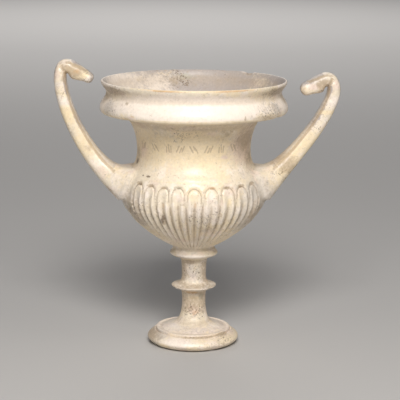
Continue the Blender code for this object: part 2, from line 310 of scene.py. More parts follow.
def carve_tongues(bowl):
    """Moves the bowl's points into round-headed flutes with raised borders and grooves between."""
    path = bowl_path()
    run = np.concatenate([[0], np.cumsum(np.linalg.norm(np.diff(path, axis=0), axis=1))])
    along = np.gradient(path, run, axis=0)
    along /= np.linalg.norm(along, axis=1)[:, None]

    points = read_points(bowl)
    _, angle = polar(points)
    travel = np.interp(points[:, 2], path[:, 1], run)
    turns = (angle - FRONT) / SECTOR
    index = np.round(turns).astype(int)
    across = turns - index

    dice = np.random.default_rng(CARVER_SEED)
    lift = dice.uniform(-LIFT, LIFT, TONGUES)
    depth = dice.uniform(1 - UNEVEN_DEPTH, 1 + UNEVEN_DEPTH, TONGUES)
    sway = dice.uniform(-SWAY, SWAY, TONGUES)
    swell = dice.uniform(1 - SWELL, 1 + SWELL, TONGUES)
    off_handle = np.arccos(np.abs(np.cos(FRONT + SECTOR * np.arange(TONGUES))))
    spring_z = np.where(off_handle < HANDLE_HALF_ANGLE, SHORT_SPRING_Z, TALL_SPRING_Z)
    spring = np.interp(spring_z, path[:, 1], run) + lift
    shrink = np.interp(spring_z, path[:, 1], path[:, 0]) / BOWL_WIDE[0]
    own = index % TONGUES

    # Distance from a tongue's middle line, or from the centre of its head, in half tongues
    over = (travel - spring[own]) / shrink[own]
    above = np.interp(over, *HEAD_RISE) + np.maximum(0, over / HEAD_RISE[0][-1] - 1)
    reach = np.hypot(above, 2 * (across - sway[own] * above))
    reach = reach / (1 + (swell[own] - 1) * smoothstep(0, 1, above))

    # Points round a head are pulled on to its lines, which keeps the lines smooth
    pull = np.where(above > 0, LINE_PULL, 0) * smoothstep(0.35, 0.6, reach)
    pull = pull * (1 - smoothstep(1.1, 1.25, reach))
    snapped = reach - pull * LINE_STEP / FULL_TURN * np.sin(FULL_TURN * reach / LINE_STEP)
    scale = np.where(reach > 0.01, snapped / np.maximum(reach, 0.01), 1)
    travel = np.where(above > 0, spring[own] + (travel - spring[own]) * scale, travel)
    across = np.where(above > 0, across * scale, across)

    rise = above / np.maximum(snapped, 1e-6)
    opened = smoothstep(0, OPENS_OVER, -over)
    tail = tongue_cut(1.0, smoothstep(0.0, 0.35, rise), opened)
    tail = SPANDREL_CUT + (tail - SPANDREL_CUT) * (1 - smoothstep(1.0, 1.1, snapped))
    cut = np.where(snapped <= 1, tongue_cut(snapped, smoothstep(0.1, 0.9, rise), opened), tail)

    # Narrower tongues are shallower, and the carving fades out under the ledge and over the collar
    width = np.interp(travel, run, path[:, 0]) / BOWL_WIDE[0]
    cut = cut * width**0.7 * depth[own]
    cut = cut * (1 - 0.6 * smoothstep(run[-1] - FADE_ABOVE, run[-1], travel))
    cut = cut * (0.1 + 0.9 * smoothstep(0, FADE_BELOW, travel))

    from_front = (index + across) * SECTOR
    angle = FRONT + from_front + hand_spacing(from_front)
    radius = np.interp(travel, run, path[:, 0]) - cut * np.interp(travel, run, along[:, 1])
    height = np.interp(travel, run, path[:, 1]) + cut * np.interp(travel, run, along[:, 0])
    write_points(bowl, np.stack([radius * np.cos(angle), radius * np.sin(angle), height], axis=1))


# ---------------------------------------------------------------- the turned cup


def foot_outline():
    """Foot: a rounded lower step, a groove and a raised top."""
    return outline(
        (0, 0),
        ((36.4, 0), 8),
        ((40.6, 0.2), (45.2, 2.6), (46.0, 6.0), 0.9),
        ((46.0, 8.7), (41.8, 11.0), (38.8, 13.6), 0.9),
        ((38.5, 13.85), (38.2, 13.6), (37.9, 13.2), 0.5),
        ((37.7, 12.9), (37.5, 13.3), (37.5, 14.1), 0.5),
        ((37.5, 15.5), (37.1, 16.1), (36.2, 16.1), 0.5),
        ((35.2, 16.1), (34.6, 15.7), (33.4, 15.7), 0.6),
        ((31.4, 15.7), (29.8, 16.7), (27.6, 17.5), 1.2),
    )


def stem_outline():
    """Stem, with a ring at mid height and a collar under the bowl."""
    return outline(
        (26.6, 18.0),
        ((22.0, 19.0), (18.0, 20.4), (16.0, 23.2), 1.3),
        ((13.6, 26.8), (11.9, 35.0), (11.9, 43.0), 1.7),
        ((11.9, 48.0), (12.2, 51.0), (12.5, 52.6), 1.5),
        ((13.2, 55.2), (16.6, 55.6), (20.0, 56.9), 0.8),
        ((21.9, 57.5), (22.7, 58.2), (22.6, 59.1), 0.7),
        ((22.2, 60.0), (20.0, 60.5), (17.6, 61.0), 0.8),
        ((15.2, 61.9), (13.6, 62.8), (12.9, 65.4), 0.8),
        ((12.3, 67.4), (12.3, 69.0), (12.3, 72.0), 1.4),
        ((12.3, 78.0), (12.9, 82.2), (13.4, 85.6), 1.5),
        ((13.7, 87.0), (15.2, 87.9), (17.4, 88.8), 0.8),
        ((21.0, 90.1), (23.8, 90.9), (24.2, 92.6), 0.8),
        ((24.4, 94.3), (21.4, 95.7), (20.9, 98.9), 0.8),
    )


def neck_outline():
    """Hollowed neck, half-round moulding and flared lip."""
    return outline(
        (64.8, 176.7),
        ((59.4, 181.4), (56.4, 188.0), (56.4, 197.0), 1.8),
        ((56.4, 208.2), (58.6, 216.0), (62.4, 224.0), 2.1),
        ((65.4, 230.0), (72.0, 233.2), (84.0, 233.9), 2.2),
        ((90.6, 234.2), (RIM_R, 235.0), (RIM_R, 239.6), 1.2),
        ((RIM_R, 247.0), (86.7, 249.8), (86.6, 254.6), 1.5),
        ((86.5, 258.6), (90.8, 260.6), (91.7, 264.6), 1.1),
        ((91.9, 265.6), (91.8, 266.5), (91.0, 266.7), 0.5),
        ((90.4, 266.8), 0.5),
    )


def hollow_outline():
    """Inside of the cup, from the lip down to the floor."""
    return outline(
        (89.9, 266.6),
        ((88.8, 265.8), (87.6, 263.4), (86.4, 261.0), 1.2),
        ((81.4, 250.4), (70.0, 241.0), (60.0, 226.0), 2.4),
        ((54.0, 217.0), (50.4, 208.0), (50.4, 199.0), 3.4),
        ((50.4, 184.0), (65.6, 177.0), (65.6, 158.0), 4.2),
        ((65.6, 138.0), (40.0, 121.0), (22.0, 115.5), 5.0),
        ((15.0, 113.2), (8.0, 111.5), (0, 111.5), 5.0),
    )


def turned_cup():
    """Foot, stem, bowl, neck, rim and hollow, spun band by band and bridged into one skin."""
    cup = turn_band("kantharos_body", foot_outline(), FOOT_COLUMNS)
    cup = weld_band(cup, turn_band("stem", stem_outline(), STEM_COLUMNS), STEM_SEAM_Z)
    bowl = turn_band("bowl", bowl_path(), BOWL_COLUMNS)
    carve_tongues(bowl)
    cup = weld_band(cup, bowl, BOWL_SEAM_Z, 1.5)
    cup = weld_band(cup, turn_band("neck", neck_outline(), NECK_COLUMNS), NECK_SEAM_Z)
    cup = weld_band(cup, turn_band("hollow", hollow_outline(), HOLLOW_COLUMNS), LIP_SEAM_Z)
    with editing(cup):
        bpy.ops.mesh.normals_make_consistent(inside=False)
    return cup


# ---------------------------------------------------------------- handles

Handle = namedtuple(
    "Handle",
    "name side lead trail top thick crown_r turn hump hook_length hook_mid hook_end",
)
HANDLES = [
    Handle("left", -1, (99.7, 175.6), (134.2, 242.4), (131.0, 272.8), 6.5, 6.3, 110, 1.9, 19.6, 8.5, 5.6),
    Handle("right", 1, (92.6, 179.3), (141.3, 238.6), (137.5, 260.3), 6.8, 7.2, 104.3, 1.4, 17.5, 9.6, 6.9),
]
ROOT = (70.8, 165.8)
ROOT_ALONG = np.array([math.sin(math.radians(68)), math.cos(math.radians(68))])
ROOT_ABOVE, ROOT_BELOW, ROOT_WIDE, ROOT_FLARE = 16.0, 18.0, 33.0, 7
BAR_THICK_LOW, BAR_WIDE = 9.8, 9.2
BAR_STATIONS, CROWN_STATIONS, HOOK_STATIONS, TIP_STATIONS, SKIN_STATIONS = 66, 16, 11, 6, 3
SECTION_POINTS = 44
SQUARENESS, ROOT_SQUARENESS = 2.5, 1.3  # 2 makes the bar's section round, and more makes it squarer
# Where the groove starts on each stretch, in half thicknesses from the middle, and how far it moves
GROOVE = {"bar": (0.52, 0.24), "crown": (0.76, -0.12), "hook": (0.64, 0.2)}
NO_GROOVE = 2.0
CREASE, CREASE_AT, INNER_SLIM = 0.16, 0.45, 0.7
WALL_MIDDLE = 3.2  # depth inside the wall at which a root ends
SEAM_GAP = 0.2
ROOT_ZONE = (40, 125, 200)  # where the roots meet the cup: distance out, lowest and highest
FILLET, FILLET_ROUNDS, FILLET_WEIGHT = 4.5, 14, 0.6


def unit(vectors):
    """The same directions with a length of 1."""
    return vectors / np.linalg.norm(vectors, axis=-1, keepdims=True)


def groove_place(stretch, share):
    """Where the groove runs, at a share of the way along a stretch."""
    start, shift = GROOVE[stretch]
    return start + shift * share


def handle_stations(spec):
    """Sections of a handle from root to tip.

    Each has its centre, direction, half thickness inside and outside, half width, share of the root's
    flare, share of the way into the hook, and place of the groove.
    """
    rows = []
    t = np.linspace(0, 1, BAR_STATIONS)
    centre = cubic(ROOT, spec.lead, spec.trail, spec.top, t)
    ahead = unit(cubic(ROOT, spec.lead, spec.trail, spec.top, t + 0.005) - centre)
    flare = (1 - t) ** ROOT_FLARE
    thick = BAR_THICK_LOW + (spec.thick - BAR_THICK_LOW) * t
    along = unit(ahead + (ROOT_ALONG - ahead) * flare[:, None])
    for k in range(BAR_STATIONS):
        above = thick[k] + (ROOT_ABOVE - thick[k]) * flare[k]
        below = thick[k] + (ROOT_BELOW - thick[k]) * flare[k]
        above -= INNER_SLIM * t[k]
        wide = BAR_WIDE + (ROOT_WIDE - BAR_WIDE) * flare[k]
        rows.append((centre[k], along[k], above, below, wide, flare[k], 0.0, groove_place("bar", t[k])))

    end, direction = centre[-1], ahead[-1]
    hub = end + np.array([-direction[1], direction[0]]) * spec.crown_r
    spoke = end - hub
    for k in range(1, CROWN_STATIONS + 1):
        share = k / CROWN_STATIONS
        turn = math.radians(spec.turn) * share
        spin = np.array([[math.cos(turn), -math.sin(turn)], [math.sin(turn), math.cos(turn)]])
        arm = spin @ spoke
        direction = unit(np.array([-arm[1], arm[0]]))
        inner = min(spec.thick, spec.crown_r) - INNER_SLIM
        outer = spec.thick + spec.hump * smoothstep(0.1, 0.6, share)
        pinch = 1 - 0.05 * math.sin(math.pi * share) ** 2
        pinch = pinch - CREASE * math.exp(-(((share - CREASE_AT) / 0.10) ** 2))
        groove = groove_place("crown", share)
        rows.append((hub + arm, direction, inner, outer, BAR_WIDE * pinch, 0.0, share, groove))
    start = hub + arm
    for k in range(1, HOOK_STATIONS + 1):
        share = k / HOOK_STATIONS
        outer = spec.thick + spec.hump + (spec.hook_end - spec.thick - spec.hump) * share**1.2
        under = inner + (spec.hook_mid - inner) * smoothstep(0, 0.3, share)
        under += (spec.hook_end - under) * smoothstep(0.3, 1, share)
        groove = groove_place("hook", share) + smoothstep(0.75, 1, share)
        reach = start + direction * spec.hook_length * share
        rows.append((reach, direction, under, outer, BAR_WIDE, 0.0, 1.0, groove))
    start = start + direction * spec.hook_length
    for k in range(1, TIP_STATIONS + 1):
        swing = math.pi / 2 * k / TIP_STATIONS
        small = max(math.cos(swing), 0.001) ** 0.8
        reach = start + direction * spec.hook_end * math.sin(swing)
        thick = spec.hook_end * small
        rows.append((reach, direction, thick, thick, BAR_WIDE * small, 0.0, 1.0, NO_GROOVE))
    return rows


def groove_line(out, hook, groove, width):
    """How near each place across a bar is to the groove: inside on the bar, and on top of the hook."""
    inside = np.exp(-(((out + groove) / width) ** 2)) * (1 - hook)
    return inside + np.exp(-(((out - groove) / width) ** 2)) * hook


def edge_strip(out, hook, groove):
    """The narrow strip between the groove and the bar's inner edge, or the hook's upper one."""
    return smoothstep(0.05, 0.15, -out - groove) * (1 - hook) + smoothstep(0.03, 0.13, out - groove) * hook


def handle_section(flare, hook, groove):
    """Outline across a bar, outward and sideways, in shares of its half thickness and half width."""
    turn = np.arange(SECTION_POINTS) * FULL_TURN / SECTION_POINTS
    power = 2 / (SQUARENESS + ROOT_SQUARENESS * flare)
    out = np.sign(np.cos(turn)) * np.abs(np.cos(turn)) ** power
    side = np.sign(np.sin(turn)) * np.abs(np.sin(turn)) ** power
    set_in = 0.13 * edge_strip(out, hook, groove) + 0.10 * groove_line(out, hook, groove, 0.08)
    return out, side * (1 - (1 - flare) * set_in)


def wall_radius(height):
    """Radius of the middle of the cup's wall behind a handle's root."""
    outer = np.concatenate([bowl_path(), neck_outline()[:40]])
    return np.interp(height, outer[:, 1], outer[:, 0]) - WALL_MIDDLE


def handle(spec):
    """A grid rolled into a bar that spreads into a broad root and hooks in at its free end."""
    stations = handle_stations(spec)
    rings = len(stations) + SKIN_STATIONS
    bpy.ops.mesh.primitive_circle_add(vertices=SECTION_POINTS, radius=MM, location=(0, 0, 0))
    bar = bpy.context.object
    bar.name = "handle_" + spec.name
    with editing(bar):
        for _ in range(rings - 1):
            bpy.ops.mesh.extrude_region_move(TRANSFORM_OT_translate={"value": (0, 0, MM)})
    straight = read_points(bar)
    _, angle = polar(straight)
    around = np.rint(angle / FULL_TURN * SECTION_POINTS).astype(int) % SECTION_POINTS
    level = np.rint(straight[:, 2]).astype(int)

    loops = []
    for centre, along, inner, outer, wide, flare, hook, groove in stations:
        out, side = handle_section(flare, hook, groove)
        normal = np.array([along[1], -along[0]])
        thick = np.where(out > 0, outer, inner) * out
        x = centre[0] + normal[0] * thick
        z = centre[1] + normal[1] * thick
        y = side * wide
        x = x - flare * y * y / (2 * BOWL_WIDE[0])
        loops.append(np.stack([x, y, z], axis=1))
    first = loops[0]
    sunk = first.copy()
    sunk[:, 0] = np.sqrt(wall_radius(first[:, 2]) ** 2 - first[:, 1] ** 2)
    skin = [sunk + (first - sunk) * k / SKIN_STATIONS for k in range(SKIN_STATIONS)]
    loops = np.array(skin + loops)
    points = loops[level, around] * np.array([spec.side, spec.side, 1])
    write_points(bar, points)
    with editing(bar):
        bpy.ops.mesh.remove_doubles(threshold=TIP_MERGE * MM)
        select_open_edges()
        bpy.ops.mesh.edge_face_add()
        put_in_order(bar)
        bpy.ops.mesh.select_all(action="SELECT")
        bpy.ops.mesh.normals_make_consistent(inside=False)
    return bar


def unite(cup, bar):
    """Joins a handle to the cup as one block, then eases the line where they meet."""
    skins = [BVHTree.FromObject(piece, bpy.context.evaluated_depsgraph_get()) for piece in (cup, bar)]
    union = cup.modifiers.new("union", "BOOLEAN")
    union.operation = "UNION"
    union.solver = "EXACT"
    union.object = bar
    pick(cup)
    bpy.ops.object.modifier_apply(modifier=union.name)
    side = math.copysign(1, bar.data.vertices[0].co.x)
    bpy.data.objects.remove(bar)
    with editing(cup):
        put_points_in_order(cup)
        put_in_order(cup)
        bpy.ops.mesh.remove_doubles(threshold=UNION_MERGE * MM)

    points = read_points(cup)
    outward, lowest, highest = ROOT_ZONE
    x, _, z = points.T
    near = np.flatnonzero((x * side > outward) & (z < highest) & (z > lowest))
    gaps = np.array([[skin.find_nearest(points[k] * MM)[3] / MM for skin in skins] for k in near])
    seam = points[near[gaps.max(axis=1) < SEAM_GAP]]
    away = np.full(len(points), 99.0)
    away[near] = [np.sqrt(((seam - point) ** 2).sum(axis=1).min()) for point in points[near]]
    weight = FILLET_WEIGHT * (1 - smoothstep(1.0, FILLET, away))
    for _ in range(FILLET_ROUNDS):
        points = spread(points, edge_ends(cup), weight)
    write_points(cup, points)


# ---------------------------------------------------------------- cut strokes and wear

# Groups of short strokes round the neck, at degrees from the front: each stroke's middle, lean and length
STROKE_ROW_Z, STROKE_DEPTH, STROKE_HALF_WIDTH = 205.8, 0.42, 0.85
PATCH = (5.2, 5.0)  # half width and half height of the finer faces under a group
LEANING = ((-2.4, 0.4, 24, 6.4), (0.2, -0.8, 24, 5.0), (2.8, 0.5, 24, 6.0))
FALLING = ((-2.0, 0.2, -28, 6.6), (0.9, 1.2, -28, 4.2), (2.9, -0.9, -28, 5.2))
UPRIGHT = ((-2.2, -0.8, 4, 5.0), (0.1, 0.3, -6, 7.0), (2.4, -0.3, 3, 5.6))
STROKE_GROUPS = [
    (-61.0, LEANING), (-43.4, FALLING), (-27.2, UPRIGHT), (-15.1, LEANING), (-2.2, FALLING),
    (12.8, LEANING), (25.8, UPRIGHT), (40.5, FALLING), (60.0, UPRIGHT),
]

Dent = namedtuple("Dent", "place reach depth")


def on(angle, radius, height):
    """A place on the turned cup: degrees to the right of the front, radius and height."""
    turn = math.radians(angle)
    return radius * math.sin(turn), -radius * math.cos(turn), height


DENTS = [
    Dent(on(139, 90.5, 266.5), 3.2, 3.0),
    Dent(on(20, 91.4, 264), 2.2, 0.5),
    Dent(on(-33, 91.4, 264.5), 2.2, 0.45),
    Dent(on(55, 91.4, 263.5), 3.0, 0.6),
    Dent(on(-70, 91.4, 264), 2.6, 0.5),
    Dent(on(-47, 91.5, 236), 5.0, 0.9),
    Dent(on(-60, 92, 239), 4.5, 0.7),
    Dent(on(61, 91, 236.5), 5.0, 0.8),
    Dent(on(48, 22.5, 58.2), 2.6, 1.0),
    Dent(on(74, 22.6, 60), 2.2, 0.8),
    Dent(on(-70, 22.6, 58), 2.6, 0.7),
    Dent(on(30, 24.6, 90.5), 3.0, 0.6),
    Dent(on(-40, 24.6, 90), 2.6, 0.6),
    Dent(on(1, 46, 7.6), 1.4, 0.6),
    Dent(on(5.5, 46, 8.4), 1.1, 0.5),
    Dent(on(25, 45.4, 2.6), 3.0, 0.7),
    Dent(on(-62, 45.6, 3.6), 3.5, 0.6),
    Dent(on(52, 38, 14.5), 2.6, 0.6),
    Dent(on(-14, 37.4, 15.5), 1.8, 0.4),
    Dent((-133, -7, 262), 3.0, 0.5),
    Dent((-104, -8, 274), 2.4, 0.5),
    Dent((112, -9, 262), 3.0, 0.6),
    Dent((137, -8, 248), 2.8, 0.5),
]
STEM_SHIFT, RIM_SHIFT = 0.7, -0.2  # how far stem and rim stand off the axis
WEAR_DEPTH, EDGE_WEAR = 0.10, 0.5
WAVE_SIZE, CHIP_SIZE = 11, 2.3


def refine_neck(cup):
    """Finer faces where the strokes are cut."""
    with editing(cup):
        bpy.ops.mesh.select_mode(type="FACE")
        bpy.ops.mesh.select_all(action="DESELECT")
        shell = bmesh.from_edit_mesh(cup.data)
        for face in shell.faces:
            x, y, z = face.calc_center_median() / MM
            if abs(z - STROKE_ROW_Z) > PATCH[1] or y > 0 or face.normal.y > 0:
                continue
            angle, radius = math.degrees(math.atan2(x, -y)), math.hypot(x, y)
            if any(abs(math.radians(angle - middle) * radius) < PATCH[0] for middle, _ in STROKE_GROUPS):
                face.select_set(True)
        bmesh.update_edit_mesh(cup.data)
        bpy.ops.mesh.subdivide(number_cuts=3)


def stroke_share(points):
    """How far each point lies in a stroke of the row on the neck, from 0 to 1."""
    radius, angle = polar(points)
    share = np.zeros(len(points))
    near = (np.abs(points[:, 2] - STROKE_ROW_Z) < 8) & (radius > 53) & (radius < 66)
    for middle, strokes in STROKE_GROUPS:
        along = (angle[near] - FRONT - math.radians(middle)) * radius[near]
        up = points[near, 2] - STROKE_ROW_Z
        for x, z, lean, length in strokes:
            way = np.array([math.sin(math.radians(lean)), math.cos(math.radians(lean))])
            run = (along - x) * way[0] + (up - z) * way[1]
            off = np.hypot(along - x - way[0] * run, up - z - way[1] * run)
            past = np.maximum(0, np.abs(run) - length / 2)
            share[near] = np.maximum(share[near], np.exp(-((np.hypot(off, past) / STROKE_HALF_WIDTH) ** 2)))
    return share


def wear_down(cup):
    """Strokes, dents, chipped edges and a slight unevenness, all cut into the stone."""
    points, normals, ends = read_points(cup), read_normals(cup), edge_ends(cup)
    edge = np.clip(-2.5 * hollowness(points, normals, ends, NEAR_ROUNDS), 0, 1)
    wave = np.array([noise.noise(Vector(point) / WAVE_SIZE) for point in points])
    chips = np.array([noise.noise(Vector(point) / CHIP_SIZE) for point in points])
    cut = WEAR_DEPTH + WEAR_DEPTH * wave + EDGE_WEAR * edge * smoothstep(0.1, 0.5, chips)
    cut = cut * smoothstep(0, 2, points[:, 2]) + STROKE_DEPTH * stroke_share(points)
    for dent in DENTS:
        away = np.linalg.norm(points - np.array(dent.place), axis=1)
        cut += dent.depth * np.exp(-((away / dent.reach) ** 2))
    points = points - normals * cut[:, None]
    radius, _ = polar(points)
    height = points[:, 2]
    shifted = smoothstep(17, 30, height) * (1 - smoothstep(88, 106, height))
    leaning = smoothstep(190, 240, height) * (radius < RIM_R + 1)
    points[:, 0] += STEM_SHIFT * shifted + RIM_SHIFT * leaning
    write_points(cup, points)
